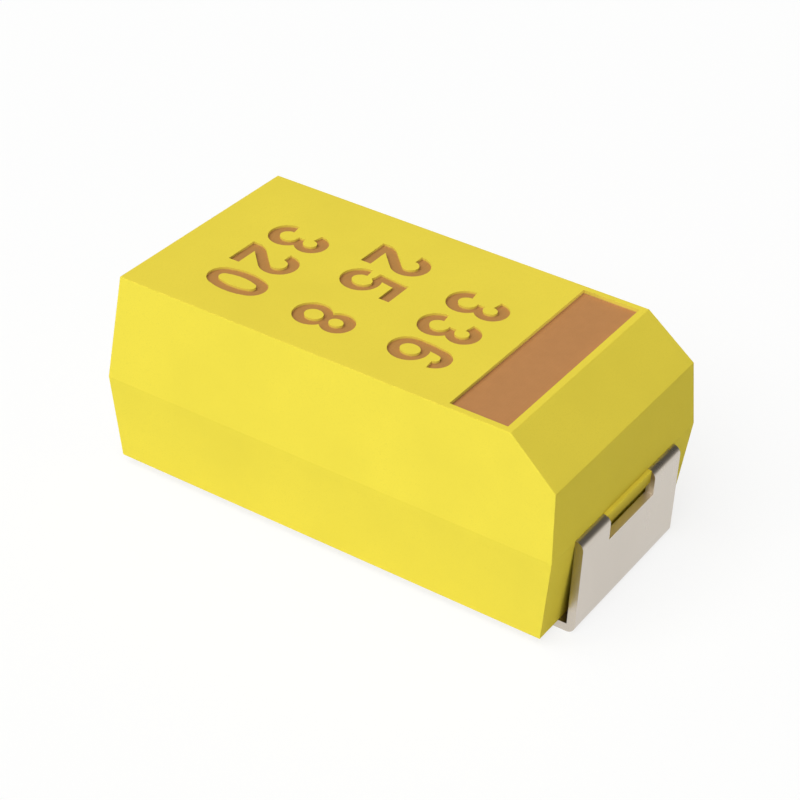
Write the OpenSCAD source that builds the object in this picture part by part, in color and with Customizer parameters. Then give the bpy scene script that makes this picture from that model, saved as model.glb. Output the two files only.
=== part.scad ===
// Moulded tantalum chip capacitor, case size 6032-28.
// The origin is the centre of the footprint on the seating plane.
// +X points to the anode end, which has the bevel, the stripe and the notched terminal.

/* [Moulded case] */
// Length of the case at the parting line
case_l = 5.8; // [5.6:0.05:6.4]
// Width of the case at the parting line
case_w = 3.2; // [3.0:0.05:3.6]
// Height of the case above the parting line
upper_h = 1.3; // [1.2:0.05:1.7]
// Depth of the case below the parting line
lower_h = 1.1; // [1.05:0.05:1.4]
// Draft of the case walls in degrees
draft = 5; // [2:0.5:7]
// Length of the bevel along the top
bevel_l = 0.55; // [0.3:0.01:0.7]
// Depth of the bevel down the anode end
bevel_h = 0.49; // [0.3:0.01:0.7]

/* [Polarity stripe] */
// Length of the stripe along the case
stripe_l = 0.7; // [0.4:0.01:0.9]
// Rim left between the stripe and the edges of the top
stripe_rim = 0.08; // [0.05:0.01:0.2]
// Depth of the stripe below the top
stripe_depth = 0.05; // [0.02:0.01:0.1]

/* [Glue pad] */
// Length of the pad on the underside
pad_l = 2.8; // [2:0.1:3.2]
// Width of the pad
pad_w = 2.4; // [1.6:0.1:2.8]
// Height of the pad's face above the seating plane
pad_gap = 0.03; // [0.01:0.01:0.06]

/* [Terminals] */
// Thickness of the lead frame
lead_t = 0.1; // [0.08:0.01:0.13]
// Width of each terminal
lead_w = 2.2; // [1.9:0.1:2.4]
// Length of each foot under the case
foot_l = 1.3; // [1:0.05:1.5]
// Outer radius of the bends
bend_r = 0.1; // [0.02:0.01:0.1]
// Gap between a foot and the underside of the case
foot_gap = 0.01; // [0:0.01:0.05]
// Gap between a riser and the parting line of the case
riser_gap = 0; // [0:0.01:0.05]
// Depth of the lead frame's upper face below the parting line
lead_drop = 0.01; // [0:0.01:0.05]
// Length of full width that each terminal has inside the case
shoulder_l = 0.25; // [0.1:0.05:0.3]

/* [Anode terminal] */
// Width of the notch in the anode terminal
notch_w = 1; // [0.6:0.1:1.2]
// Height of the notch's floor above the seating plane
notch_floor = 0.9; // [0.6:0.05:1]
// Depth of the notch inside the case
notch_in = 0.15; // [0.05:0.05:0.2]
// Reach of the moulding web that fills the notch, beyond the wall of the case
web_out = 0.05; // [0.01:0.01:0.07]
// Width of the tongue that carries the wire
tongue_w = 1.4; // [1.2:0.1:1.8]
// Reach of the tongue inside the case
tongue_in = 1.15; // [0.9:0.05:1.3]

/* [Cathode terminal] */
// Wall between the cathode end of the case and the step in the lead
end_wall = 0.45; // [0.4:0.05:0.6]
// Width of the paddle under the element
paddle_w = 1.7; // [1.2:0.1:1.8]
// Length of the paddle
paddle_l = 1.7; // [1:0.1:3]

/* [Pellet] */
// Width of the sintered pellet
pellet_w = 2.2; // [2.1:0.05:2.4]
// Height of the pellet
pellet_h = 1.4; // [1.1:0.05:1.5]
// Radius of the pellet's long edges
pellet_r = 0.2; // [0.1:0.02:0.24]

/* [Wire and washer] */
// Diameter of the anode wire
wire_d = 0.3; // [0.24:0.02:0.36]
// Length of the wire inside the pellet
wire_embed = 2.2; // [1:0.1:2.5]
// Length of the wire between the pellet and the tongue
wire_gap = 0.5; // [0.35:0.05:1]
// Length of the wire welded to the tongue
weld_l = 0.7; // [0.4:0.05:0.8]
// Depth of the flat that the weld leaves on the wire
weld_flat = 0.03; // [0.01:0.01:0.06]
// Diameter of the washer
washer_d = 0.9; // [0.6:0.05:1]
// Thickness of the washer
washer_t = 0.2; // [0.1:0.02:0.3]

/* [Coats and adhesive] */
// Thickness of the manganese dioxide coat
manganese_t = 0.05; // [0.03:0.01:0.07]
// Thickness of the carbon coat
carbon_t = 0.03; // [0.02:0.01:0.05]
// Thickness of the silver coat
silver_t = 0.05; // [0.03:0.01:0.07]
// Bare manganese dioxide left at the wire end
carbon_rim = 0.15; // [0.05:0.05:0.3]
// Bare carbon left behind that
silver_rim = 0.1; // [0.05:0.05:0.3]
// Thickness of the silver adhesive
adhesive_t = 0.05; // [0.03:0.01:0.07]
// Height of the adhesive up the step
adhesive_rise = 0.45; // [0.2:0.05:0.5]

/* [Hidden] */
$fn = 48;

// Overlap that lets a cut pass clear through a face
clear = 0.2;
epoxy_yellow = [0.90, 0.82, 0.27];
tin_grey = [0.78, 0.76, 0.71];
tantalum_grey = [0.36, 0.36, 0.38];
ptfe_white = [0.94, 0.94, 0.92];
manganese_black = [0.13, 0.12, 0.12];
carbon_black = [0.05, 0.05, 0.05];
silver_grey = [0.72, 0.72, 0.70];
adhesive_grey = [0.58, 0.57, 0.54];

// Heights of the case
case_bottom = lead_t + foot_gap;
parting = case_bottom + lower_h;
case_top = parting + upper_h;

// How far the drafted walls lean in at the top and at the bottom
lean_top = upper_h * tan(draft);
lean_bottom = lower_h * tan(draft);

// End of the flat top at the bevel
bevel_x = case_l / 2 - lean_top - bevel_l;

// The lead frame: the outer plane of its risers and its level at the case wall
tip_x = case_l / 2 + riser_gap + lead_t;
lead_top = parting - lead_drop;
shelf_z = lead_top - lead_t / 2;
shoulder_x = case_l / 2 - shoulder_l;
notch_x = case_l / 2 - notch_in;
tongue_x = case_l / 2 - tongue_in;

// The element lies on the axis of the wire, which is welded to the top of the tongue
axis_z = lead_top + wire_d / 2 - weld_flat;

// Coats around the pellet, as their whole thickness outside it
carbon_out = manganese_t + carbon_t;
silver_out = carbon_out + silver_t;

// The cathode lead steps down past the end of the element and runs under it
step_x = -(case_l / 2 - end_wall);
element_end = step_x + lead_t + adhesive_t;
element_bottom = axis_z - pellet_h / 2 - silver_out;
paddle_top = element_bottom - adhesive_t;

// Ends of the pellet and of what lies at its wire end
pellet_back = element_end + silver_out;
pellet_front = tongue_x - wire_gap;
carbon_front = pellet_front + manganese_t - carbon_rim;
silver_front = carbon_front - silver_rim;
wire_end = tongue_x + weld_l;

// A flat outline in X and Z, given a width along Y about the middle
module across(width) {
    rotate([90, 0, 0])
        linear_extrude(height = width, center = true)
            children();
}

// A flat outline in Y and Z, run along X from one place to another
module along(from, to) {
    translate([from, 0, 0])
        rotate([90, 0, 90])
            linear_extrude(height = to - from)
                children();
}

// One straight leg of a strip between two points of its centre line
module strip_leg(from, to) {
    low = [min(from.x, to.x), min(from.y, to.y)];
    size = [abs(to.x - from.x), abs(to.y - from.y)];
    thick = size.x > size.y ? [0, lead_t] : [lead_t, 0];
    translate(low - thick / 2)
        square(size + thick);
}

// Rounded outer corner of a bend; outwards points from the inner corner to the outer one
module bend(corner, outwards) {
    centre = corner + outwards * (lead_t / 2 - bend_r);
    low = [min(outwards.x, 0), min(outwards.y, 0)] * bend_r;
    intersection() {
        translate(centre)
            circle(r = bend_r);
        translate(centre + low)
            square(bend_r);
    }
}

function heading(from, to) = (to - from) / norm(to - from);

// A strip formed along a centre line of straight legs with square bends
module formed_strip(path) {
    last = len(path) - 1;
    reach = lead_t / 2 - bend_r;
    for (i = [0 : last - 1]) {
        way = heading(path[i], path[i + 1]);
        start = path[i] - way * (i > 0 ? reach : 0);
        end = path[i + 1] + way * (i < last - 1 ? reach : 0);
        strip_leg(start, end);
    }
    for (i = [1 : last - 1]) {
        bend(path[i], heading(path[i - 1], path[i]) - heading(path[i], path[i + 1]));
    }
}

// Foot, riser and shelf of a terminal; side is 1 at the anode end and -1 at the cathode end
module terminal_outside(side) {
    riser_x = tip_x - lead_t / 2;
    across(lead_w)
        formed_strip([
            [side * (tip_x - foot_l), lead_t / 2],
            [side * riser_x, lead_t / 2],
            [side * riser_x, shelf_z],
            [side * shoulder_x, shelf_z],
        ]);
}

// The notch, from its floor up to the top of the lead frame
module notch_cut() {
    translate([notch_x, -notch_w / 2, notch_floor])
        cube([tip_x + clear - notch_x, notch_w, lead_top - notch_floor]);
}

module anode_lead() {
    difference() {
        union() {
            terminal_outside(1);
            across(tongue_w)
                strip_leg([tongue_x, shelf_z], [shoulder_x, shelf_z]);
        }
        notch_cut();
    }
}

module cathode_lead() {
    step_mid = step_x + lead_t / 2;
    paddle_mid = paddle_top - lead_t / 2;
    terminal_outside(-1);
    across(paddle_w)
        formed_strip([
            [-shoulder_x, shelf_z],
            [step_mid, shelf_z],
            [step_mid, paddle_mid],
            [step_x + paddle_l, paddle_mid],
        ]);
}

// Outline of the pellet's section, grown by the coats outside it
module element_section(out) {
    w = pellet_w + 2 * out;
    h = pellet_h + 2 * out;
    r = pellet_r + out;
    translate([0, axis_z]) {
        square([w - 2 * r, h], center = true);
        square([w, h - 2 * r], center = true);
        for (y = [-1, 1], z = [-1, 1]) {
            translate([y * (w / 2 - r), z * (h / 2 - r)])
                circle(r = r);
        }
    }
}

// The pellet with its coats out to a thickness, from the closed end to a place near the wire
module element_block(out, front) {
    along(pellet_back - out, front)
        element_section(out);
}

module rod(d, from, to) {
    along(from, to)
        translate([0, axis_z])
            circle(d = d);
}

// The wire, with the flat that its weld to the tongue leaves on it
module wire_shape() {
    difference() {
        rod(wire_d, pellet_front - wire_embed, wire_end);
        translate([tongue_x, -wire_d, lead_top - wire_d])
            cube([weld_l + clear, 2 * wire_d, wire_d]);
    }
}

module washer_blank() {
    rod(washer_d, pellet_front, pellet_front + washer_t);
}

// Bead of adhesive between the silver coat, the step and the paddle
module adhesive_bead() {
    inner = step_x + lead_t;
    across(paddle_w)
        polygon([
            [inner, paddle_top],
            [step_x + paddle_l, paddle_top],
            [step_x + paddle_l, element_bottom],
            [element_end, element_bottom],
            [element_end, paddle_top + adhesive_rise],
            [inner, paddle_top + adhesive_rise],
        ]);
}

// Outside of the case: side outline with the bevel, met by the drafted end outline
module case_blank() {
    intersection() {
        across(case_w)
            polygon([
                [-case_l / 2 + lean_bottom, case_bottom],
                [-case_l / 2, parting],
                [-case_l / 2 + lean_top, case_top],
                [bevel_x, case_top],
                [case_l / 2 - (upper_h - bevel_h) * tan(draft), case_top - bevel_h],
                [case_l / 2, parting],
                [case_l / 2 - lean_bottom, case_bottom],
            ]);
        along(-case_l / 2, case_l / 2)
            polygon([
                [-case_w / 2 + lean_bottom, case_bottom],
                [-case_w / 2, parting],
                [-case_w / 2 + lean_top, case_top],
                [case_w / 2 - lean_top, case_top],
                [case_w / 2, parting],
                [case_w / 2 - lean_bottom, case_bottom],
            ]);
    }
}

module glue_pad() {
    translate([-pad_l / 2, -pad_w / 2, pad_gap])
        cube([pad_l, pad_w, case_bottom - pad_gap]);
}

// Moulding compound that fills the notch between the faces of the lead frame
module notch_web() {
    translate([notch_x, -notch_w / 2, lead_top - lead_t])
        cube([notch_in + web_out, notch_w, lead_t]);
}

module polarity_stripe() {
    width = case_w - 2 * (lean_top + stripe_rim);
    translate([bevel_x - stripe_rim - stripe_l, -width / 2, case_top - stripe_depth])
        cube([stripe_l, width, stripe_depth + clear]);
}

// Everything that the moulding compound flows round
module moulded_round() {
    anode_lead();
    cathode_lead();
    adhesive_bead();
    wire_shape();
    washer_blank();
    element_block(manganese_t, pellet_front + manganese_t);
    element_block(carbon_out, carbon_front);
    element_block(silver_out, silver_front);
}

module moulded_case() {
    color(epoxy_yellow)
        difference() {
            union() {
                case_blank();
                glue_pad();
                notch_web();
            }
            polarity_stripe();
            moulded_round();
        }
}

module anode_terminal() {
    color(tin_grey)
        anode_lead();
}

module cathode_terminal() {
    color(tin_grey)
        cathode_lead();
}

module anode_pellet() {
    color(tantalum_grey)
        difference() {
            element_block(0, pellet_front);
            wire_shape();
        }
}

module anode_wire() {
    color(tantalum_grey)
        wire_shape();
}

module wire_washer() {
    color(ptfe_white)
        difference() {
            washer_blank();
            wire_shape();
        }
}

module manganese_dioxide_coat() {
    color(manganese_black)
        difference() {
            element_block(manganese_t, pellet_front + manganese_t);
            element_block(0, pellet_front);
            washer_blank();
        }
}

module carbon_coat() {
    color(carbon_black)
        difference() {
            element_block(carbon_out, carbon_front);
            element_block(manganese_t, pellet_front);
        }
}

module silver_coat() {
    color(silver_grey)
        difference() {
            element_block(silver_out, silver_front);
            element_block(carbon_out, pellet_front);
        }
}

module silver_adhesive() {
    color(adhesive_grey)
        adhesive_bead();
}

moulded_case();
anode_terminal();
cathode_terminal();
anode_pellet();
anode_wire();
wire_washer();
manganese_dioxide_coat();
carbon_coat();
silver_coat();
silver_adhesive();
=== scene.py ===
"""Looks of a moulded tantalum chip capacitor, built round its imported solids.

The case gets its engraved numbers and its moulded finish, the two terminals get their tin plating, and the
element sealed inside gets its powder, wire, coats and adhesive. Sizes are in millimetres, and only those of
the class Studio in metres. Every mesh is in metres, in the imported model's own frame.
"""

from __future__ import annotations

import logging
import math
from collections.abc import Callable
from dataclasses import dataclass, replace
from enum import Enum

import bpy
from mathutils import Matrix, Vector


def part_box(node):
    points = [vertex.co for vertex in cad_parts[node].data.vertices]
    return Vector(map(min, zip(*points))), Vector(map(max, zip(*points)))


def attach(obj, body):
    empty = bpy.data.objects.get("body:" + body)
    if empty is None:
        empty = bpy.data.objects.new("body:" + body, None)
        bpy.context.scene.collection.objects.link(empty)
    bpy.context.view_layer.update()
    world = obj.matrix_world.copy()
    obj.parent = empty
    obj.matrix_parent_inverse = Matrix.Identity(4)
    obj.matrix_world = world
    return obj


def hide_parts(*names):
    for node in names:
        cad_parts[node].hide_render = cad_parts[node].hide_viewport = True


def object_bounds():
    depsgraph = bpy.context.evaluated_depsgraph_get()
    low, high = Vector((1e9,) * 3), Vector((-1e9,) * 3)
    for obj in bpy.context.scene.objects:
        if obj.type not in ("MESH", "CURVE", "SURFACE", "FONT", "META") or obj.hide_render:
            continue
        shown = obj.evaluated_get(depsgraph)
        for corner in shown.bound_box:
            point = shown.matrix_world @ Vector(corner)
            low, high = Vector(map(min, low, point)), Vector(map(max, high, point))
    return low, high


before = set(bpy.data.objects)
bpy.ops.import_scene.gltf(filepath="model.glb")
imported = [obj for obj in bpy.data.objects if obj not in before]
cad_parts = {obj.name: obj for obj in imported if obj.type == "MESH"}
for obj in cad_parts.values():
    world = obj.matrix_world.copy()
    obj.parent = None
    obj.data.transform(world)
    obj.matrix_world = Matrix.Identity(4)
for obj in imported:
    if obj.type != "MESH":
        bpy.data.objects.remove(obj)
cad_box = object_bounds()

MM = 0.001
BODY = "root"

SKIN = 0.0005  # how far past a face the mask for it reaches, in millimetres
NEAR = 0.001  # places this near count as one, in millimetres
NOISE = (0.25, 0.75)  # most of a noise lies between these values
BANDS = 10 / math.pi  # how many bands a wave texture of scale 1 lays over a metre
FACING = 0.9  # a face looks along an axis if its normal reaches this far along it
FLAT = math.radians(0.5)  # faces that meet at less than this are made one
UPRIGHT = (math.radians(90), 0, 0)  # makes a flat thing stand and face along Y

log = logging.getLogger("capacitor")

Colour = tuple[float, float, float]
Triple = tuple[float, float, float]
Socket = bpy.types.NodeSocket
Piece = bpy.types.Object


def linear(colour: Colour) -> tuple[float, float, float, float]:
    """Turns a display colour into the linear one that shaders take, with an alpha of 1."""
    parts = (part / 12.92 if part <= 0.04045 else ((part + 0.055) / 1.055) ** 2.4 for part in colour)
    return (*parts, 1.0)


def scaled(colour: Colour, share: float) -> Colour:
    """Makes a display colour lighter or darker by a factor, and holds it under 1."""
    return tuple(min(part * share, 1.0) for part in colour)


# ----- Finishes -----


class Recipe:
    """A material's node tree, which a finish fills step by step."""

    def __init__(self, name: str) -> None:
        """Starts a material that holds one shader and its output.

        Args:
            name: the material's name.
        """
        self.material = bpy.data.materials.new(name)
        self.material.use_nodes = True
        self.tree = self.material.node_tree
        self.tree.nodes.clear()
        output = self.node("ShaderNodeOutputMaterial")
        self.shader = self.node("ShaderNodeBsdfPrincipled")
        self.link(self.shader.outputs["BSDF"], output.inputs["Surface"])
        self.place = self.node("ShaderNodeTexCoord").outputs["Object"]

    def node(self, kind: str, **settings: object) -> bpy.types.Node:
        """Adds a node.

        Args:
            kind: the node's type.
            **settings: the node's own properties.

        Returns:
            The new node.
        """
        made = self.tree.nodes.new(kind)
        for name, value in settings.items():
            setattr(made, name, value)
        return made

    def link(self, source: Socket, target: Socket) -> None:
        """Joins one node's output to another's input."""
        self.tree.links.new(source, target)

    def math(self, operation: str, first: Socket, second: float | Socket) -> Socket:
        """Works out one value from two.

        Args:
            operation: the operation's name.
            first: the socket that gives the first value.
            second: a number, or the socket that gives the second value.

        Returns:
            The result.
        """
        step = self.node("ShaderNodeMath", operation=operation)
        self.link(first, step.inputs[0])
        if isinstance(second, float):
            step.inputs[1].default_value = second
        else:
            self.link(second, step.inputs[1])
        return step.outputs[0]

    def feed(self, socket: str, source: Socket) -> None:
        """Lets a value or a colour drive one of the shader's sockets."""
        self.link(source, self.shader.inputs[socket])

    def along(self, axis: str) -> Socket:
        """Finds the place on the object along one axis.

        Args:
            axis: X, Y or Z.

        Returns:
            The place, in metres.
        """
        parts = self.node("ShaderNodeSeparateXYZ")
        self.link(self.place, parts.inputs["Vector"])
        return parts.outputs[axis]

    def away(self, axis: str) -> Socket:
        """The distance from the object's middle along one axis, in metres."""
        return self.math("ABSOLUTE", self.along(axis), 0.0)

    def past(self, place: Socket, limit: float) -> Socket:
        """A value of 1 where a place lies past a limit in millimetres, and of 0 elsewhere."""
        return self.math("GREATER_THAN", place, limit * MM)

    def short_of(self, place: Socket, limit: float) -> Socket:
        """A value of 1 where a place lies short of a limit in millimetres, and of 0 elsewhere."""
        return self.math("LESS_THAN", place, limit * MM)

    def product(self, first: Socket, *others: Socket) -> Socket:
        """Multiplies values, such as masks that all have to hold.

        Args:
            first: the first value.
            *others: the other values.

        Returns:
            Their product.
        """
        for other in others:
            first = self.math("MULTIPLY", first, other)
        return first

    def constant(self, **values: object) -> None:
        """Sets the shader's sockets, named with underscores for spaces, to values that hold all over."""
        for name, value in values.items():
            self.shader.inputs[name.replace("_", " ")].default_value = value

    def pattern(self, kind: str, size: float, stretch: Triple, **settings: object) -> bpy.types.Node:
        """Adds a texture.

        Args:
            kind: the node's type.
            size: the size of its forms, in millimetres.
            stretch: how much longer they are along X, Y and Z.
            **settings: the node's own properties.

        Returns:
            The new node.
        """
        mapping = self.node("ShaderNodeMapping")
        mapping.inputs["Scale"].default_value = tuple(1.0 / part for part in stretch)
        self.link(self.place, mapping.inputs["Vector"])
        texture = self.node(kind, **settings)
        texture.inputs["Scale"].default_value = 1.0 / (size * MM)
        self.link(mapping.outputs["Vector"], texture.inputs["Vector"])
        return texture

    def clouds(self, size: float, detail: float = 3.0, stretch: Triple = (1, 1, 1)) -> Socket:
        """Soft noise.

        Args:
            size: the size of its blots, in millimetres.
            detail: how many finer layers it holds.
            stretch: how much longer it is along X, Y and Z.

        Returns:
            A value from 0 to 1.
        """
        noise = self.pattern("ShaderNodeTexNoise", size, stretch)
        noise.inputs["Detail"].default_value = detail
        return noise.outputs["Fac"]

    def cells(self, size: float) -> Socket:
        """Rounded grains of a size in millimetres, side by side, with a value of 0 at a grain's middle."""
        return self.pattern("ShaderNodeTexVoronoi", size, (1, 1, 1), feature="SMOOTH_F1").outputs["Distance"]

    def passes(self, pitch: float, wander: float) -> Socket:
        """Lines along Y, as a beam leaves them in its passes.

        Args:
            pitch: the distance between two lines, in millimetres.
            wander: how far they stray from straight lines.

        Returns:
            A value from 0 to 1.
        """
        wave = self.node("ShaderNodeTexWave", wave_profile="SIN", bands_direction="X")
        wave.inputs["Scale"].default_value = 1.0 / (BANDS * pitch * MM)
        wave.inputs["Distortion"].default_value = wander
        self.link(self.place, wave.inputs["Vector"])
        return wave.outputs["Fac"]

    def spread(self, value: Socket, *ends: float) -> Socket:
        """Spreads a value over a new range, and holds it at the range's ends.

        Args:
            value: the value to spread.
            *ends: its low and high end, and what each of them becomes.

        Returns:
            The new value.
        """
        spread = self.node("ShaderNodeMapRange")
        for name, number in zip(("From Min", "From Max", "To Min", "To Max"), ends):
            spread.inputs[name].default_value = number
        self.link(value, spread.inputs["Value"])
        return spread.outputs["Result"]

    def climb(self, low: float, high: float, first: float = 0.0, last: float = 1.0) -> Socket:
        """A value that goes from first to last between two heights in millimetres."""
        return self.spread(self.along("Z"), low * MM, high * MM, first, last)

    def ramp(self, value: Socket, low: float, high: float) -> Socket:
        """Spreads noise, most of which lies round the middle of 0 to 1, from a low to a high value."""
        return self.spread(value, *NOISE, low, high)

    def blend(self, first: Colour | Socket, second: Colour, share: Socket) -> Socket:
        """Mixes two colours.

        Args:
            first: the colour where share is 0, or what makes it.
            second: the colour where share is 1.
            share: how much of the second colour there is.

        Returns:
            The mixed colour.
        """
        mix = self.node("ShaderNodeMix", data_type="RGBA")
        share_in, first_in, second_in = mix.inputs[0], mix.inputs[6], mix.inputs[7]
        if isinstance(first, tuple):
            first_in.default_value = linear(first)
        else:
            self.link(first, first_in)
        second_in.default_value = linear(second)
        self.link(share, share_in)
        return mix.outputs[2]

    def relief(self, height: Socket, depth: float) -> None:
        """Adds relief on top of what the shader's normal already has.

        Args:
            height: its height from 0 to 1.
            depth: the height of 1, in millimetres.
        """
        bump = self.node("ShaderNodeBump")
        bump.inputs["Distance"].default_value = depth * MM
        self.link(height, bump.inputs["Height"])
        normal = self.shader.inputs["Normal"]
        if normal.links:
            self.link(normal.links[0].from_socket, bump.inputs["Normal"])
        self.link(bump.outputs["Normal"], normal)


@dataclass(frozen=True)
class Finish:
    """A surface's colour, roughness and relief, and the material that shows them.

    Each is uneven: `shade` is the factor on the colour in its clouds, `mottle` is their size, and `roughness`
    runs from the least to the most.
    """

    name: str
    colour: Colour
    shade: float = 0.9
    mottle: float = 0.5
    metal: float = 0.0
    roughness: tuple[float, float] = (0.5, 0.6)
    specular: float = 0.5
    grain_size: float = 0.03
    grain_depth: float = 0.001
    stretch: Triple = (1, 1, 1)

    STREAK = 4.0  # the size of a dull spot, in grains
    DETAIL = 4.0  # the finer layers in the grain

    def material(self) -> bpy.types.Material:
        """Makes the material.

        Returns:
            A material whose colour and roughness vary, with relief.
        """
        recipe = Recipe(self.name)
        recipe.constant(Metallic=self.metal, Specular_IOR_Level=self.specular)
        self.tint(recipe)
        self.polish(recipe)
        self.texture(recipe)
        return recipe.material

    def clouded(self, recipe: Recipe) -> Socket:
        """The colour, with clouds of its other shade in it."""
        clouds = recipe.ramp(recipe.clouds(self.mottle, stretch=self.stretch), 0.0, 1.0)
        return recipe.blend(self.colour, scaled(self.colour, self.shade), clouds)

    def spotted(self, recipe: Recipe) -> Socket:
        """The roughness, with duller spots in it."""
        spots = recipe.clouds(self.grain_size * self.STREAK, stretch=self.stretch)
        return recipe.ramp(spots, *self.roughness)

    def tint(self, recipe: Recipe) -> None:
        """Gives the recipe its colour."""
        recipe.feed("Base Color", self.clouded(recipe))

    def polish(self, recipe: Recipe) -> None:
        """Gives the recipe its roughness."""
        recipe.feed("Roughness", self.spotted(recipe))

    def texture(self, recipe: Recipe) -> None:
        """Gives the recipe its relief."""
        recipe.relief(recipe.clouds(self.grain_size, self.DETAIL, self.stretch), self.grain_depth)


@dataclass(frozen=True)
class Powder(Finish):
    """A surface of rounded grains that lie side by side."""

    def texture(self, recipe: Recipe) -> None:
        """Gives the recipe its grains."""
        recipe.relief(recipe.cells(self.grain_size), self.grain_depth)


@dataclass(frozen=True)
class MouldedEpoxy(Finish):
    """Filled epoxy out of a spark-eroded mould: an even colour, fine fillers and a faint orange peel.

    Painted shade darkens it where the leads lie close to it: on the end walls behind them, and on the web in
    the notch.
    An edge is a pair of places, between which the painted shade fades out.
    """

    grain_detail: float = 3.0
    filler_size: float = 0.014
    filler_tone: float = 0.97
    filler_spread: tuple[float, float] = (-1.2, 1.0)
    peel_size: float = 0.35
    peel_depth: float = 0.0012
    # painted shade: the colour that darkens the end walls behind the leads and the web's lower part
    painted_shade: Colour = (0.58, 0.47, 0.1)
    shade_from: float = 2.68
    shade_height: float = 1.16
    shade_within: float = 0.6
    shade_edge: tuple[float, float] = (0.95, 1.12)
    web_from: float = 2.92
    web_edge: tuple[float, float] = (1.04, 1.2)
    web_painted_shade: float = 0.74

    def painted_shade_places(self, recipe: Recipe) -> Socket:
        """Finds where the shade is painted: the end walls behind the leads' sides, and the lower part of the
        web.

        Args:
            recipe: where the nodes go.

        Returns:
            A value that grows to 1 behind the leads.
        """
        inner, outer = (place * MM for place in self.shade_edge)
        low, high = self.web_edge
        across = recipe.away("Y")
        # painted shade on the end walls behind the leads' sides, where the gap is in shadow
        wall = recipe.product(
            recipe.spread(across, inner, outer, 1.0, 0.0),
            recipe.past(recipe.away("X"), self.shade_from),
            recipe.short_of(recipe.along("Z"), self.shade_height),
            recipe.past(across, self.shade_within),
        )
        # painted shade on the web, darkest at its bottom and fading out towards its top
        web = recipe.product(
            recipe.climb(low, high, self.web_painted_shade, 0.0),
            recipe.past(recipe.along("X"), self.web_from),
            recipe.past(recipe.along("Z"), low + SKIN),
        )
        return recipe.math("MAXIMUM", wall, web)

    def tint(self, recipe: Recipe) -> None:
        """Adds the fillers, which show as fine specks, and the painted shade to the clouds of colour.

        Args:
            recipe: where the nodes go.
        """
        specks = recipe.ramp(recipe.clouds(self.filler_size, detail=1.0), *self.filler_spread)
        flecked = recipe.blend(self.clouded(recipe), scaled(self.colour, self.filler_tone), specks)
        recipe.feed("Base Color", recipe.blend(flecked, self.painted_shade, self.painted_shade_places(recipe)))

    def texture(self, recipe: Recipe) -> None:
        """Lays the mould's fine grain over a shallow orange peel."""
        recipe.relief(recipe.clouds(self.peel_size, detail=1.0), self.peel_depth)
        recipe.relief(recipe.clouds(self.grain_size, self.grain_detail), self.grain_depth)


@dataclass(frozen=True)
class BeamMark(Finish):
    """Epoxy that a marking beam has burnt off in close passes, down to a copper-brown floor.

    The walls of a mark are scorched from brown at the floor to a darker yellow at the top, and `wall` says
    between which shares of the mark's depth.
    """

    pitch: float = 0.035
    wander: float = 1.5
    pass_tone: float = 0.25
    pass_depth: float = 0.0006
    scorched: Colour = (0.84, 0.72, 0.27)
    wall: tuple[float, float] = (0.98, 0.6)
    top: float = 0.0
    depth: float = 0.05

    def tint(self, recipe: Recipe) -> None:
        """Colours the passes a little darker than the ridges between them, and the walls by their height.

        Args:
            recipe: where the nodes go.
        """
        lines = recipe.ramp(recipe.passes(self.pitch, self.wander), 0.0, self.pass_tone)
        burnt = recipe.blend(self.clouded(recipe), scaled(self.colour, self.shade), lines)
        wall = recipe.climb(*(self.top - share * self.depth for share in self.wall))
        recipe.feed("Base Color", recipe.blend(burnt, self.scorched, wall))

    def texture(self, recipe: Recipe) -> None:
        """Adds the ridges between the passes to a fine char."""
        recipe.relief(recipe.passes(self.pitch, self.wander), self.pass_depth)
        recipe.relief(recipe.cells(self.grain_size), self.grain_depth)


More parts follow.
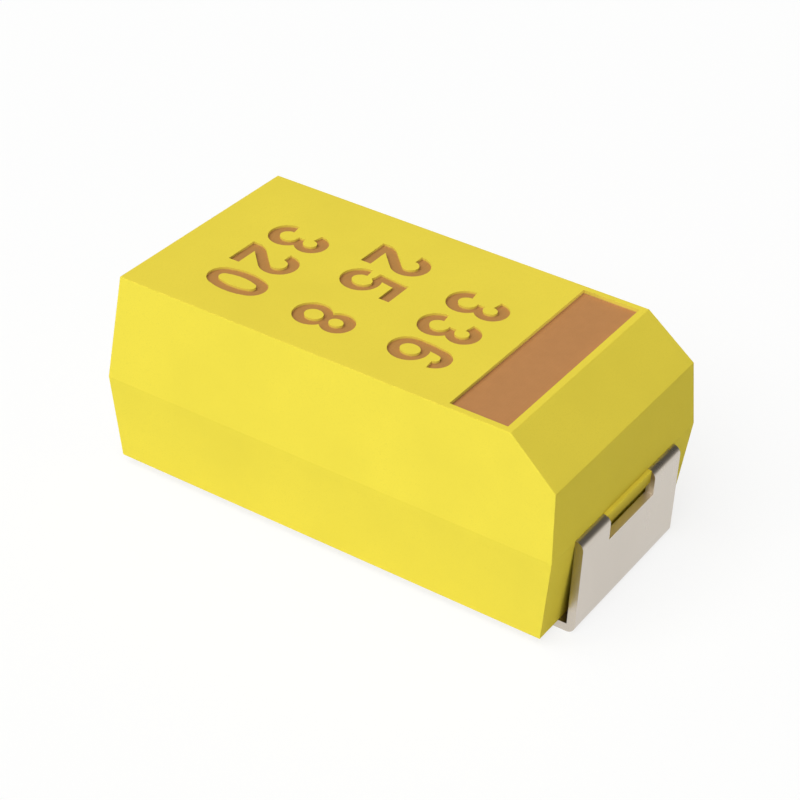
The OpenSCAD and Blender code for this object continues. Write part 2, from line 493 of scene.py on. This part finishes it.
@dataclass(frozen=True)
class TinPlate(Finish):
    """Matt tin on rolled strip: faint lines along it, a soft bloom, and inner faces painted dark as shade.

    The sheared sides are duller than the plate, and a painted reflection of the floor makes them bright near
    the foot; the notch is dull, and painted shade darkens it towards its top. An edge is a pair of heights,
    between which one look gives way to the next.
    """

    bloom_size: float = 0.15
    bloom_depth: float = 0.00003
    half_width: float = 1.1
    sheared_colour: Colour = (0.7, 0.665, 0.62)
    sheared_rougher: float = -0.03
    # painted reflection: the floor's bright reflection, painted on the sheared sides near the foot
    floor_reflection_colour: Colour = (0.812, 0.777, 0.732)
    floor_reflection_edge: tuple[float, float] = (0.3, 0.6)
    torn_size: float = 0.06
    torn_depth: float = 0.0002
    notch_half: float = 0.5
    notch_floor: float = 0.9
    notch_colour: Colour = (0.86, 0.825, 0.79)
    # painted shade: darkens the notch towards its top, under the web
    notch_painted_shade: Colour = (0.62, 0.56, 0.46)
    notch_edge: tuple[float, float] = (0.98, 1.1)
    notch_rougher: float = 0.14
    inside: float = 2.9
    inside_from: float = 0.2
    # painted shade: the inner faces that look at the case's end walls get this dark colour
    inner_painted_shade: Colour = (0.2, 0.17, 0.12)

    def sides(self, recipe: Recipe) -> Socket:
        """A value of 1 on the strip's sheared sides."""
        return recipe.past(recipe.away("Y"), self.half_width - SKIN)

    def notch(self, recipe: Recipe) -> Socket:
        """Finds the walls and the floor of the anode terminal's notch.

        Args:
            recipe: where the nodes go.

        Returns:
            A value of 1 on them.
        """
        within = recipe.short_of(recipe.away("Y"), self.notch_half + SKIN)
        recess = recipe.product(within, recipe.past(recipe.along("Z"), self.notch_floor - SKIN))
        return recipe.product(recess, recipe.past(recipe.along("X"), 0.0))

    def inner(self, recipe: Recipe) -> Socket:
        """A value of 1 on the faces that look at the case's end walls, which are painted dark as shade."""
        within = recipe.short_of(recipe.away("X"), self.inside + SKIN)
        return recipe.product(within, recipe.past(recipe.along("Z"), self.inside_from))

    def tint(self, recipe: Recipe) -> None:
        """Gives the plated faces, the sheared ones and the notch their colours, with painted shade on the
        inner faces and the notch's top, and a painted reflection on the sheared sides near the foot.

        Args:
            recipe: where the nodes go.
        """
        sides, notch = self.sides(recipe), self.notch(recipe)
        layers = (
            # painted shade on the inner faces
            (self.inner_painted_shade, self.inner(recipe)),
            (self.sheared_colour, sides),
            # painted reflection of the floor, bright near the foot
            (self.floor_reflection_colour, recipe.product(sides, recipe.climb(*self.floor_reflection_edge, 1.0, 0.0))),
            (self.notch_colour, notch),
            # painted shade towards the notch's top
            (self.notch_painted_shade, recipe.product(notch, recipe.climb(*self.notch_edge))),
        )
        colour = self.clouded(recipe)
        for layer, where in layers:
            colour = recipe.blend(colour, layer, where)
        recipe.feed("Base Color", colour)

    def polish(self, recipe: Recipe) -> None:
        """Makes the sheared sides smoother than the plated faces, and the notch duller.

        Args:
            recipe: where the nodes go.
        """
        roughness = self.spotted(recipe)
        changes = ((self.sides(recipe), self.sheared_rougher), (self.notch(recipe), self.notch_rougher))
        for where, rougher in changes:
            roughness = recipe.math("ADD", roughness, recipe.math("MULTIPLY", where, rougher))
        recipe.feed("Roughness", roughness)

    def texture(self, recipe: Recipe) -> None:
        """Lays the bloom over the rolling lines, and tears the sheared faces a little.

        Args:
            recipe: where the nodes go.
        """
        recipe.relief(recipe.clouds(self.grain_size, detail=1.0, stretch=self.stretch), self.grain_depth)
        recipe.relief(recipe.clouds(self.bloom_size, detail=1.0), self.bloom_depth)
        torn = recipe.math("MAXIMUM", self.sides(recipe), self.notch(recipe))
        recipe.relief(recipe.product(recipe.clouds(self.torn_size), torn), self.torn_depth)


YELLOW_EPOXY = MouldedEpoxy(
    "yellow_epoxy", (0.906, 0.824, 0.282), shade=0.975, mottle=0.9, roughness=(0.5, 0.6), specular=0.01,
    grain_size=0.02, grain_depth=0.0003,
)
BEAM_MARK = BeamMark(
    "beam_mark", (0.725, 0.512, 0.318), shade=0.965, mottle=0.15, roughness=(0.7, 0.85), specular=0.1,
    grain_size=0.015, grain_depth=0.0008,
)
NUMBER_MARK = replace(
    BEAM_MARK, name="number_mark", colour=(0.698, 0.508, 0.28), scorched=(0.8, 0.68, 0.24), wall=(0.97, 0.5)
)
TIN_PLATE = TinPlate(
    "tin_plate", (0.804, 0.769, 0.722), shade=0.98, mottle=0.6, metal=1.0, roughness=(0.26, 0.31),
    grain_size=0.12, grain_depth=0.000015, stretch=(4, 1, 4),
)
SINTERED_TANTALUM = Powder(
    "sintered_tantalum", (0.33, 0.33, 0.35), shade=0.7, mottle=0.12, metal=0.7, roughness=(0.6, 0.85),
    grain_size=0.025, grain_depth=0.008,
)
TANTALUM_WIRE = Finish(
    "tantalum_wire", (0.5, 0.5, 0.53), shade=0.88, mottle=0.08, metal=1.0, roughness=(0.25, 0.4),
    grain_size=0.01, grain_depth=0.0008, stretch=(30, 1, 1),
)
WHITE_PTFE = Finish(
    "white_ptfe", (0.94, 0.94, 0.92), shade=0.96, mottle=0.2, roughness=(0.35, 0.5), specular=0.35,
    grain_size=0.03, grain_depth=0.0012,
)
MANGANESE_DIOXIDE = Powder(
    "manganese_dioxide", (0.11, 0.10, 0.10), shade=0.6, mottle=0.1, roughness=(0.45, 0.8),
    grain_size=0.035, grain_depth=0.012,
)
CARBON = Finish(
    "carbon", (0.05, 0.05, 0.05), shade=1.6, mottle=0.25, roughness=(0.5, 0.75),
    grain_size=0.04, grain_depth=0.004,
)
SILVER_PAINT = Finish(
    "silver_paint", (0.72, 0.72, 0.70), shade=0.86, mottle=0.15, metal=0.8, roughness=(0.4, 0.6),
    grain_size=0.02, grain_depth=0.003,
)
SILVER_EPOXY = Finish(
    "silver_epoxy", (0.58, 0.57, 0.54), shade=0.8, mottle=0.1, metal=0.6, roughness=(0.45, 0.65),
    grain_size=0.05, grain_depth=0.006,
)


# ----- Bench work -----


class Part(Enum):
    """What a selection in edit mode is made of."""

    VERTICES = "VERT"
    EDGES = "EDGE"
    FACES = "FACE"


class Bench:
    """Operator calls that more than one piece needs, each with its selection set in code."""

    @staticmethod
    def pick(*pieces: Piece) -> None:
        """Selects these objects alone, and makes the first the active one.

        Args:
            *pieces: the objects.
        """
        bpy.ops.object.select_all(action="DESELECT")
        for piece in pieces:
            piece.select_set(True)
        bpy.context.view_layer.objects.active = pieces[0]

    @staticmethod
    def all_of(piece: Piece) -> None:
        """Opens a piece in edit mode with all of it selected.

        Args:
            piece: the object.
        """
        Bench.pick(piece)
        bpy.ops.object.mode_set(mode="EDIT")
        bpy.ops.mesh.select_all(action="SELECT")

    @staticmethod
    def some_of(piece: Piece, part: Part, wanted: Callable[[object], bool]) -> int:
        """Opens a piece in edit mode with some of its vertices, edges or faces selected.

        Args:
            piece: the object.
            part: what is selected.
            wanted: says of one of them whether it is.

        Returns:
            How many are selected.
        """
        Bench.all_of(piece)
        bpy.ops.mesh.select_mode(type=part.value)
        bpy.ops.mesh.select_all(action="DESELECT")
        bpy.ops.object.mode_set(mode="OBJECT")
        mesh = piece.data
        parts = {Part.VERTICES: mesh.vertices, Part.EDGES: mesh.edges, Part.FACES: mesh.polygons}[part]
        for one in parts:
            one.select = wanted(one)
        bpy.ops.object.mode_set(mode="EDIT")
        return sum(one.select for one in parts)

    @staticmethod
    def done() -> None:
        """Goes back to object mode."""
        bpy.ops.object.mode_set(mode="OBJECT")

    @staticmethod
    def lay(piece: Piece, place: Matrix) -> None:
        """Moves a piece whose object is at the origin into place, and leaves its object at the origin.

        Args:
            piece: the object.
            place: where its mesh goes.
        """
        piece.matrix_world = place
        Bench.pick(piece)
        bpy.ops.object.transform_apply(location=True, rotation=True, scale=True)

    @staticmethod
    def copy_of(node: str, name: str) -> Piece:
        """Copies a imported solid's mesh into a new piece, with its loose triangles joined to faces.

        Args:
            node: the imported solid's name.
            name: the new piece's name.

        Returns:
            The new piece.
        """
        piece = bpy.data.objects.new(name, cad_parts[node].data.copy())
        bpy.context.scene.collection.objects.link(piece)
        Bench.pick(piece)
        bpy.ops.mesh.customdata_custom_splitnormals_clear()
        Bench.all_of(piece)
        bpy.ops.mesh.remove_doubles(threshold=NEAR / 10 * MM)
        bpy.ops.mesh.dissolve_limited(angle_limit=FLAT)
        bpy.ops.mesh.faces_shade_flat()
        Bench.done()
        return piece


# ----- Engraved numbers -----


@dataclass(frozen=True)
class Arc:
    """A stroke along part of a circle, in the digit's own cell: x to the right, y up from its foot.

    The stroke may be slimmer at the circle's head, or at its foot if `under` is set. `slim` says by how much
    its inner and its outer edge move there.
    """

    x: float
    y: float
    radius: float
    start: float
    end: float
    slim: tuple[float, float] = (0.0, 0.0)
    under: bool = False

    STEP = 9.0  # the most degrees between two sections

    def cutter(self, stroke: float, depth: float) -> Piece:
        """Spins the stroke's section about the circle's middle.

        Args:
            stroke: the stroke's width.
            depth: the cutter's height, half of it below the digit's plane.

        Returns:
            A closed solid in the digit's cell.
        """
        sweep = self.end - self.start
        bpy.ops.mesh.primitive_plane_add(size=MM, location=(self.radius * MM, 0, 0), rotation=UPRIGHT)
        solid = bpy.context.object
        solid.scale = (stroke, depth, 1)
        bpy.ops.object.transform_apply(location=True, rotation=True, scale=True)
        Bench.all_of(solid)
        bpy.ops.mesh.spin(
            steps=math.ceil(sweep / self.STEP), angle=math.radians(sweep), center=(0, 0, 0), axis=(0, 0, -1)
        )
        Bench.done()
        Bench.lay(solid, Matrix.Rotation(math.radians(self.start), 4, "Z"))
        far = 1 if self.under else -1
        for outer, edge in enumerate((self.radius - stroke / 2, self.radius + stroke / 2)):

            def on_edge(vertex: bpy.types.MeshVertex, outer: int = outer) -> bool:
                """Whether a vertex belongs to this edge of the stroke."""
                return (vertex.co.xy.length > self.radius * MM) == outer

            Bench.some_of(solid, Part.VERTICES, on_edge)
            growth = self.slim[outer] * (1 - 2 * outer) / (2 * edge)
            bpy.ops.transform.resize(value=(1, 1 + growth, 1), center_override=(0, far * edge * MM, 0))
            Bench.done()
        Bench.lay(solid, Matrix.Translation((self.x * MM, self.y * MM, 0)))
        return solid


@dataclass(frozen=True)
class Bar:
    """A straight stroke between two points of the digit's cell.

    It may be lighter than the others (`weight`) or narrow towards its end (`taper`).
    """

    x0: float
    y0: float
    x1: float
    y1: float
    taper: float = 1.0
    weight: float = 1.0

    def cutter(self, stroke: float, depth: float) -> Piece:
        """Draws out a block from the first point to the second.

        Args:
            stroke: the stroke's width at the first point.
            depth: the cutter's height, half of it below the digit's plane.

        Returns:
            A closed solid in the digit's cell.
        """
        run = Vector((self.x1 - self.x0, self.y1 - self.y0, 0))
        bpy.ops.mesh.primitive_cube_add(size=MM, location=(MM / 2, 0, 0))
        solid = bpy.context.object
        Bench.some_of(solid, Part.FACES, lambda face: face.normal.x > FACING)
        bpy.ops.transform.resize(value=(1, self.taper, 1))
        Bench.done()
        bpy.ops.object.transform_apply(location=True, rotation=True, scale=True)
        turn = Matrix.Rotation(math.atan2(run.y, run.x), 4, "Z")
        size = Matrix.Diagonal((run.length, stroke * self.weight, depth, 1))
        Bench.lay(solid, Matrix.Translation((self.x0 * MM, self.y0 * MM, 0)) @ turn @ size)
        return solid


Stroke = Arc | Bar
LAP = 0.2  # how far arcs that run into each other lap, in degrees


@dataclass(frozen=True)
class DigitStyle:
    """Plain numerals of one stroke width, drawn with arcs and bars."""

    height: float = 0.755
    width: float = 0.47
    stroke: float = 0.135
    crown: float = 0.135  # the radius of the zero's ends and the six's hook
    neck: float = 47.0  # how far the two's neck leans from upright, in degrees
    slim: float = 0.034  # how much slimmer a bowl is where it meets a back
    waist: tuple[float, float] = (0.02, 0.02)  # how far both edges move where two bowls meet
    nub: tuple[float, float] = (-0.22, 0.05)  # the ends of the three's middle bar, in units of half
    nub_weight: float = 0.68
    bowl: float = 1.03  # the radius of the five's bowl, in units of half
    bowl_end: float = 146.0
    back: float = 0.72  # how far left the five's back starts, in units of half
    back_end: float = 0.46  # how high up it ends, in heights
    back_taper: float = 0.9
    flag: float = 0.4  # how far the five's head bar runs on, in strokes
    hook_end: float = 8.0
    ring_lap: float = 10.0  # how far a ring's halves lap, in degrees

    @property
    def half(self) -> float:
        """Half the width between the middles of the side strokes."""
        return (self.width - self.stroke) / 2

    @property
    def foot(self) -> float:
        """The height of the bottom stroke's middle."""
        return self.stroke / 2

    @property
    def head(self) -> float:
        """The height of the top stroke's middle."""
        return self.height - self.stroke / 2

    def flank(self, rise: float) -> tuple[float, float, float]:
        """The long arc that stands upright at the digit's side and runs into the crown arc above it.

        Args:
            rise: how far the crown arc's middle lies above the long arc's.

        Returns:
            The long arc's radius, how far its middle lies beyond the digit's middle, and its angle.
        """
        radius = (self.half**2 + rise**2 - self.crown**2) / (2 * (self.half - self.crown))
        offset = radius - self.half
        return radius, offset, math.degrees(math.atan2(rise, offset))

    def ring(self, y: float, radius: float, slim: tuple[float, float], under: bool = False) -> list[Stroke]:
        """A full ring, as two halves that lap over each other."""
        return [Arc(0, y, radius, start, start + 180 + self.ring_lap, slim, under) for start in (0, 180)]

    def zero(self) -> list[Stroke]:
        """Draws a tall oval.

        Returns:
            Its strokes.
        """
        middle = (self.foot + self.head) / 2
        radius, offset, lean = self.flank(self.head - self.crown - middle)
        return [
            Arc(-offset, middle, radius, -lean - LAP, lean + LAP),
            Arc(offset, middle, radius, 180 - lean - LAP, 180 + lean + LAP),
            Arc(0, self.head - self.crown, self.crown, lean - LAP, 180 - lean + LAP),
            Arc(0, self.foot + self.crown, self.crown, 180 + lean - LAP, 360 - lean + LAP),
        ]

    def two(self) -> list[Stroke]:
        """Draws a bowl whose neck swings round to stand upright on the left end of the foot.

        Returns:
            Its strokes.
        """
        along, across = math.sin(math.radians(self.neck)), math.cos(math.radians(self.neck))
        centre = self.head - self.half
        swing = ((centre - self.foot) * along - self.half * (1 + across)) / (1 - across)
        middle = swing - self.half
        return [
            Arc(0, centre, self.half, -self.neck - LAP, 180),
            Bar(
                self.half * across, centre - self.half * along,
                middle - swing * across, self.foot + swing * along,
            ),
            Arc(middle, self.foot, swing, 180 - self.neck - LAP, 180),
            Bar(-self.width / 2, self.foot, self.width / 2, self.foot),
        ]

    def three(self) -> list[Stroke]:
        """Draws two open bowls that meet in the middle.

        Returns:
            Its strokes.
        """
        lower = self.half
        upper = (self.head - self.foot) / 2 - lower
        waist = self.foot + 2 * lower
        return [
            Arc(0, waist + upper, upper, -90 - LAP, 180, self.waist, under=True),
            Arc(0, self.foot + lower, lower, -180, 90 + LAP, self.waist),
            Bar(self.nub[0] * self.half, waist, self.nub[1] * self.half, waist, weight=self.nub_weight),
        ]

    def five(self) -> list[Stroke]:
        """Draws a head bar, a short back and an open bowl.

        Returns:
            Its strokes.
        """
        bowl = self.half * self.bowl
        left = -self.back * self.half
        return [
            Bar(left - self.stroke / 2, self.head, self.half + self.flag * self.stroke, self.head),
            Bar(left, self.head, -self.half, self.back_end * self.height, self.back_taper),
            Arc(0, self.foot + bowl, bowl, -180, self.bowl_end, (self.slim, 0.0)),
        ]

    def six(self) -> list[Stroke]:
        """Draws a ring, and a back that rises from its side into a hook.

        Returns:
            Its strokes.
        """
        low = self.foot + self.half
        radius, offset, lean = self.flank(self.head - self.crown - low)
        return [
            *self.ring(low, self.half, (self.slim, 0.0)),
            Arc(offset, low, radius, 180 - lean - LAP, 180 + LAP),
            Arc(0, self.head - self.crown, self.crown, self.hook_end, 180 - lean + LAP),
        ]

    def eight(self) -> list[Stroke]:
        """Draws a small ring on a larger one.

        Returns:
            Its strokes.
        """
        upper = (self.head - self.foot) / 2 - self.half
        return [
            *self.ring(self.head - upper, upper, self.waist, under=True),
            *self.ring(self.foot + self.half, self.half, self.waist),
        ]

    def strokes(self, digit: str) -> list[Stroke]:
        """The arcs and bars of one digit: 0, 2, 3, 5, 6 or 8."""
        drawn = {
            "0": self.zero, "2": self.two, "3": self.three, "5": self.five, "6": self.six, "8": self.eight
        }
        return drawn[digit]()


@dataclass(frozen=True)
class Line:
    """A line of digits, which stand with their heads towards the anode end and run towards -Y."""

    text: str
    foot_x: float
    first_y: float


@dataclass
class MarkedCase:
    """The moulded case with its numbers cut in, and a brown floor in each mark."""

    pitch: float = 0.585
    mark_depth: float = 0.035
    stripe_depth: float = 0.05
    over: float = 0.05  # how far the cutters stand above the top
    draft: float = 5.0
    edge: float = 0.005
    edge_steps: int = 2
    web_creep: float = 0.06
    reach: float = 0.1  # what lies nearer to the top, the end or the parting line belongs to it
    mark_end: float = 2.2  # no mark lies further from the middle
    mark_margin: float = 0.15  # no mark lies nearer to a side
    style: DigitStyle = DigitStyle()
    lines: tuple[Line, ...] = (
        Line("336", 0.322, 0.388),
        Line("25", -0.882, 0.67),
        Line("8", -0.882, -0.83),
        Line("320", -2.08, 0.388),
    )

    def __post_init__(self) -> None:
        """Reads the case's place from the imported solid."""
        self.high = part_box("moulded_case")[1]

    def build(self) -> Piece:
        """Makes the case and dresses it.

        Returns:
            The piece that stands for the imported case.
        """
        self.case = Bench.copy_of("moulded_case", "marked_case")
        self.lower_web()
        self.break_edges()
        self.engrave(self.cutters())
        self.dress()
        return self.case

    def lower_web(self) -> None:
        """Carries the web in the notch further down the end wall, where epoxy crept behind the lead."""
        slope = math.tan(math.radians(self.draft))

        def under_web(face: bpy.types.MeshPolygon) -> bool:
            """Whether a face is the web's underside."""
            return face.normal.z < -FACING and face.center.x > self.high.x - self.reach * MM

        Bench.some_of(self.case, Part.FACES, under_web)
        bpy.ops.transform.translate(value=(-self.web_creep * slope * MM, 0, -self.web_creep * MM))
        Bench.done()

    def break_edges(self) -> None:
        """Takes the sharpness off the case's outer edges, but not off the parting line."""
        places = [vertex.co.copy() for vertex in self.case.data.vertices]
        parting = max(places, key=lambda place: place.y).z

        def on_side(place: Vector) -> bool:
            """Whether a place lies on a long wall, which leans in from the parting line."""
            lean = abs(place.z - parting) * math.tan(math.radians(self.draft))
            return abs(abs(place.y) - self.high.y + lean) < NEAR * MM

        def outer(edge: bpy.types.MeshEdge) -> bool:
            """Whether an edge bounds a long wall away from the parting line."""
            ends = [places[vertex] for vertex in edge.vertices]
            return all(map(on_side, ends)) and any(abs(end.z - parting) > self.reach * MM for end in ends)

        count = Bench.some_of(self.case, Part.EDGES, outer)
        edge = self.edge * MM
        bpy.ops.mesh.bevel(offset=edge, segments=self.edge_steps, affect="EDGES", clamp_overlap=True)
        Bench.done()
        log.info("case: %d outer edges broken", count)

    def cutters(self) -> Piece:
        """Makes one cutter of all the digits.

        Returns:
            Closed strokes that lap over each other.
        """
        strokes = []
        middle = (self.over - self.mark_depth) / 2
        for line in self.lines:
            for place, digit in enumerate(line.text):
                at = Vector((line.foot_x, line.first_y - place * self.pitch, middle))
                stand = Matrix.Translation(Vector((0, 0, self.high.z)) + at * MM)
                stand = stand @ Matrix.Rotation(math.radians(-90), 4, "Z")
                for stroke in self.style.strokes(digit):
                    solid = stroke.cutter(self.style.stroke, self.mark_depth + self.over)
                    Bench.lay(solid, stand)
                    strokes.append(solid)
        Bench.pick(*strokes)
        bpy.ops.object.join()
        joined = bpy.context.object
        Bench.all_of(joined)
        bpy.ops.mesh.normals_make_consistent(inside=False)
        Bench.done()
        return joined

    def engrave(self, cutter: Piece) -> None:
        """Cuts the digits into the top of the case, with both scaled to millimetres meanwhile.

        Args:
            cutter: the digits' strokes, which are used up.
        """
        for solid in (self.case, cutter):
            Bench.lay(solid, Matrix.Scale(1 / MM, 4))
        cut = self.case.modifiers.new("engraving", "BOOLEAN")
        cut.operation = "DIFFERENCE"
        cut.solver = "EXACT"
        cut.use_self = True
        cut.object = cutter
        Bench.pick(self.case)
        bpy.ops.object.modifier_apply(modifier=cut.name)
        bpy.data.objects.remove(cutter)
        Bench.all_of(self.case)
        bpy.ops.mesh.remove_doubles(threshold=NEAR)
        bpy.ops.mesh.dissolve_limited(angle_limit=FLAT)
        Bench.done()
        Bench.lay(self.case, Matrix.Scale(MM, 4))

    def in_mark(self, face: bpy.types.MeshPolygon) -> bool:
        """Whether a face lies a little below the top, inside a mark.

        Args:
            face: a face of the case.

        Returns:
            True if it does.
        """
        place = face.center
        inside = abs(place.x) < self.mark_end * MM and abs(place.y) < self.high.y - self.mark_margin * MM
        return inside and NEAR * MM < self.high.z - place.z < self.reach * MM

    def in_number(self, face: bpy.types.MeshPolygon) -> bool:
        """Whether a face belongs to a number, which lies behind the stripe."""
        head = self.lines[0].foot_x + self.style.height
        return self.in_mark(face) and face.center.x < (head + NEAR) * MM

    def dress(self) -> None:
        """Gives the case its finishes: epoxy all over, and burnt floors and walls in the marks."""
        case = self.case
        marks = (
            (BEAM_MARK, self.stripe_depth, self.in_mark),
            (NUMBER_MARK, self.mark_depth, self.in_number),
        )
        case.data.materials.clear()
        case.data.materials.append(YELLOW_EPOXY.material())
        for finish, depth, wanted in marks:
            case.data.materials.append(replace(finish, top=self.high.z / MM, depth=depth).material())
            Bench.some_of(case, Part.FACES, wanted)
            case.active_material_index = len(case.material_slots) - 1
            bpy.ops.object.material_slot_assign()
            Bench.done()
        Bench.some_of(case, Part.FACES, lambda face: self.in_mark(face) and abs(face.normal.z) < 1 - FACING)
        bpy.ops.mesh.faces_shade_smooth()
        Bench.done()
        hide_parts("moulded_case")
        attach(case, BODY)


# ----- Terminals and the sealed element -----


def coat(node: str, material: bpy.types.Material) -> Piece:
    """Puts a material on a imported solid.

    Args:
        node: the solid's name.
        material: its new finish.

    Returns:
        The solid.
    """
    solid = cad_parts[node]
    for slot in solid.material_slots:
        slot.material = material
    return solid


@dataclass
class Terminals:
    """The two plated ends of the lead frame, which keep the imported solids' shape."""

    nodes: tuple[str, ...] = ("anode_terminal", "cathode_terminal")

    def build(self) -> list[Piece]:
        """Plates both terminals; only the anode's has a notch."""
        plating = TIN_PLATE.material()
        return [coat(node, plating) for node in self.nodes]


@dataclass
class Element:
    """The capacitor element that the case seals in, from the powder out to the adhesive."""

    layers: tuple[tuple[str, Finish], ...] = (
        ("anode_pellet", SINTERED_TANTALUM),
        ("anode_wire", TANTALUM_WIRE),
        ("wire_washer", WHITE_PTFE),
        ("manganese_dioxide_coat", MANGANESE_DIOXIDE),
        ("carbon_coat", CARBON),
        ("silver_coat", SILVER_PAINT),
        ("silver_adhesive", SILVER_EPOXY),
    )

    def build(self) -> list[Piece]:
        """Finishes the layers, from the inside out."""
        return [coat(node, finish.material()) for node, finish in self.layers]


# ----- Studio -----


def outward(azimuth: float, elevation: float) -> Vector:
    """The direction at an azimuth, from -Y towards +X, and an elevation above the floor, in degrees."""
    around, up = math.radians(azimuth), math.radians(elevation)
    return Vector((math.sin(around) * math.cos(up), -math.cos(around) * math.cos(up), math.sin(up)))


@dataclass(frozen=True)
class Viewpoint:
    """Where the camera stands, as angles and a distance from the point it looks at."""

    azimuth: float = 31.49
    elevation: float = 33.89
    roll: float = 3.07
    distance: float = 25.02
    lens: float = 99.96
    aim: Triple = (0.0156, -0.0206, -0.0383)
    sight: tuple[float, float] = (1.0, 100000.0)

    def build(self) -> Piece:
        """Sets up the camera.

        Returns:
            The camera.
        """
        low, high = cad_box
        target = (low + high) / 2 + Vector(self.aim) * MM
        around = math.radians(self.azimuth)
        back = outward(self.azimuth, self.elevation)
        right = Vector((math.cos(around), math.sin(around), 0))
        level = Matrix((right, back.cross(right), back)).transposed().to_4x4()
        roll = Matrix.Rotation(math.radians(self.roll), 4, "Z")
        bpy.ops.object.camera_add()
        camera = bpy.context.object
        camera.name = "camera"
        camera.matrix_world = Matrix.Translation(target + back * self.distance * MM) @ level @ roll
        camera.data.lens = self.lens
        camera.data.clip_start, camera.data.clip_end = (end * MM for end in self.sight)
        bpy.context.scene.camera = camera
        return camera


@dataclass(frozen=True)
class Studio:
    """A pale floor, a large soft light, a faint one, an even sky and a card for metal edges to mirror."""

    floor_size: float = 8.0
    floor_colour: Colour = (0.96, 0.96, 0.955)
    floor_white: float = 0.8
    floor_gap: float = 0.000001
    sky: float = 0.21
    key_size: float = 1.2
    key_distance: float = 1.1
    key_azimuth: float = -13.0
    key_elevation: float = 56.0
    key_level: float = 1.36
    fill_size: float = 0.5
    fill_distance: float = 1.0
    fill_height: float = 0.12
    fill_colour: Colour = (0.1, 1.0, 0.6)
    fill_level: float = 0.09
    card_size: tuple[float, float] = (4.6, 3.5)
    card_place: Triple = (0.7, 1.4, 1.8)
    card_colour: Colour = (1.0, 0.96, 0.87)
    card_edge: tuple[float, float] = (0.05, 0.75)  # the heights between which it darkens
    card_levels: tuple[float, float] = (0.55, 0.085)

    def build(self) -> None:
        """Sets up the floor, the lights and the colour management."""
        self.lay_floor()
        self.hang_key()
        self.stand_fill()
        self.raise_sky()
        self.stand_card()
        bpy.context.scene.view_settings.view_transform = "Standard"

    @staticmethod
    def lamp_power(level: float, distance: float) -> float:
        """The power, in watts, with which a lamp at a distance lights the object to a level."""
        return level * (math.pi * distance) ** 2

    @staticmethod
    def seen(tree: bpy.types.NodeTree) -> Socket:
        """Makes a value of 1 for rays from the camera, off gloss and through glass.

        Args:
            tree: where the nodes go.

        Returns:
            The value.
        """
        path = tree.nodes.new("ShaderNodeLightPath")
        value = path.outputs["Is Camera Ray"]
        for name in ("Is Glossy Ray", "Is Transmission Ray"):
            either = tree.nodes.new("ShaderNodeMath")
            either.operation = "MAXIMUM"
            tree.links.new(value, either.inputs[0])
            tree.links.new(path.outputs[name], either.inputs[1])
            value = either.outputs[0]
        return value

    def lay_floor(self) -> None:
        """Lays a pale floor that shows white where no shadow falls."""
        below = cad_box[0].z - self.floor_gap
        bpy.ops.mesh.primitive_plane_add(size=self.floor_size, location=(0, 0, below))
        floor = bpy.context.object
        floor.name = "floor"
        recipe = Recipe("pale_floor")
        recipe.constant(Roughness=1.0, Specular_IOR_Level=0.0, Emission_Color=(1, 1, 1, 1))
        white = recipe.math("MULTIPLY", self.seen(recipe.tree), self.floor_white)
        recipe.feed("Base Color", recipe.blend(self.floor_colour, (0.0, 0.0, 0.0), white))
        recipe.feed("Emission Strength", white)
        floor.data.materials.append(recipe.material)

    def hang_key(self) -> None:
        """Hangs the large soft light over the camera's left."""
        back = outward(self.key_azimuth, self.key_elevation)
        bpy.ops.object.light_add(type="AREA", location=back * self.key_distance)
        key = bpy.context.object
        key.name = "key"
        key.rotation_euler = back.to_track_quat("Z", "Y").to_euler()
        key.data.shape = "SQUARE"
        key.data.size = self.key_size
        key.data.energy = self.lamp_power(self.key_level, self.key_distance)

    def stand_fill(self) -> None:
        """Stands a faint green light low in front of the object, which nothing mirrors."""
        place = (0, -self.fill_distance, self.fill_height)
        bpy.ops.object.light_add(type="AREA", location=place, rotation=UPRIGHT)
        fill = bpy.context.object
        fill.name = "fill"
        fill.data.size = self.fill_size
        fill.data.color = self.fill_colour
        fill.data.energy = self.lamp_power(self.fill_level, self.fill_distance)
        fill.visible_glossy = False

    def raise_sky(self) -> None:
        """Gives the world an even light, and a white background behind it."""
        world = bpy.data.worlds.new("sky")
        bpy.context.scene.world = world
        world.use_nodes = True
        tree = world.node_tree
        level = tree.nodes.new("ShaderNodeMapRange")
        level.inputs["To Min"].default_value = self.sky
        level.inputs["To Max"].default_value = 1.0
        tree.links.new(self.seen(tree), level.inputs["Value"])
        background = tree.nodes["Background"]
        background.inputs["Color"].default_value = (1, 1, 1, 1)
        tree.links.new(level.outputs["Result"], background.inputs["Strength"])

    def stand_card(self) -> None:
        """Stands a card behind the object that darkens upwards, out of the camera's sight."""
        bpy.ops.mesh.primitive_plane_add(size=1, location=self.card_place, rotation=UPRIGHT)
        card = bpy.context.object
        card.name = "dark_card"
        card.scale = (*self.card_size, 1)
        bpy.ops.object.transform_apply(location=True, rotation=True, scale=True)
        recipe = Recipe("dark_card")
        recipe.constant(Base_Color=(0, 0, 0, 1), Roughness=1.0, Specular_IOR_Level=0.0)
        recipe.constant(Emission_Color=(*self.card_colour, 1.0))
        level = recipe.spread(recipe.along("Z"), *self.card_edge, *self.card_levels)
        recipe.feed("Emission Strength", level)
        card.data.materials.append(recipe.material)
        for ray in ("camera", "diffuse", "shadow"):
            setattr(card, f"visible_{ray}", False)


def main() -> None:
    """Builds the object, piece by piece, and the studio round it."""
    logging.basicConfig(level=logging.INFO, format="%(name)s: %(message)s")
    Viewpoint().build()
    Studio().build()
    case = MarkedCase().build()
    log.info("%s: %d faces", case.name, len(case.data.polygons))
    for piece in (*Terminals().build(), *Element().build()):
        log.info("%s: %s", piece.name, piece.material_slots[0].material.name)


if __name__ == "__main__":
    main()
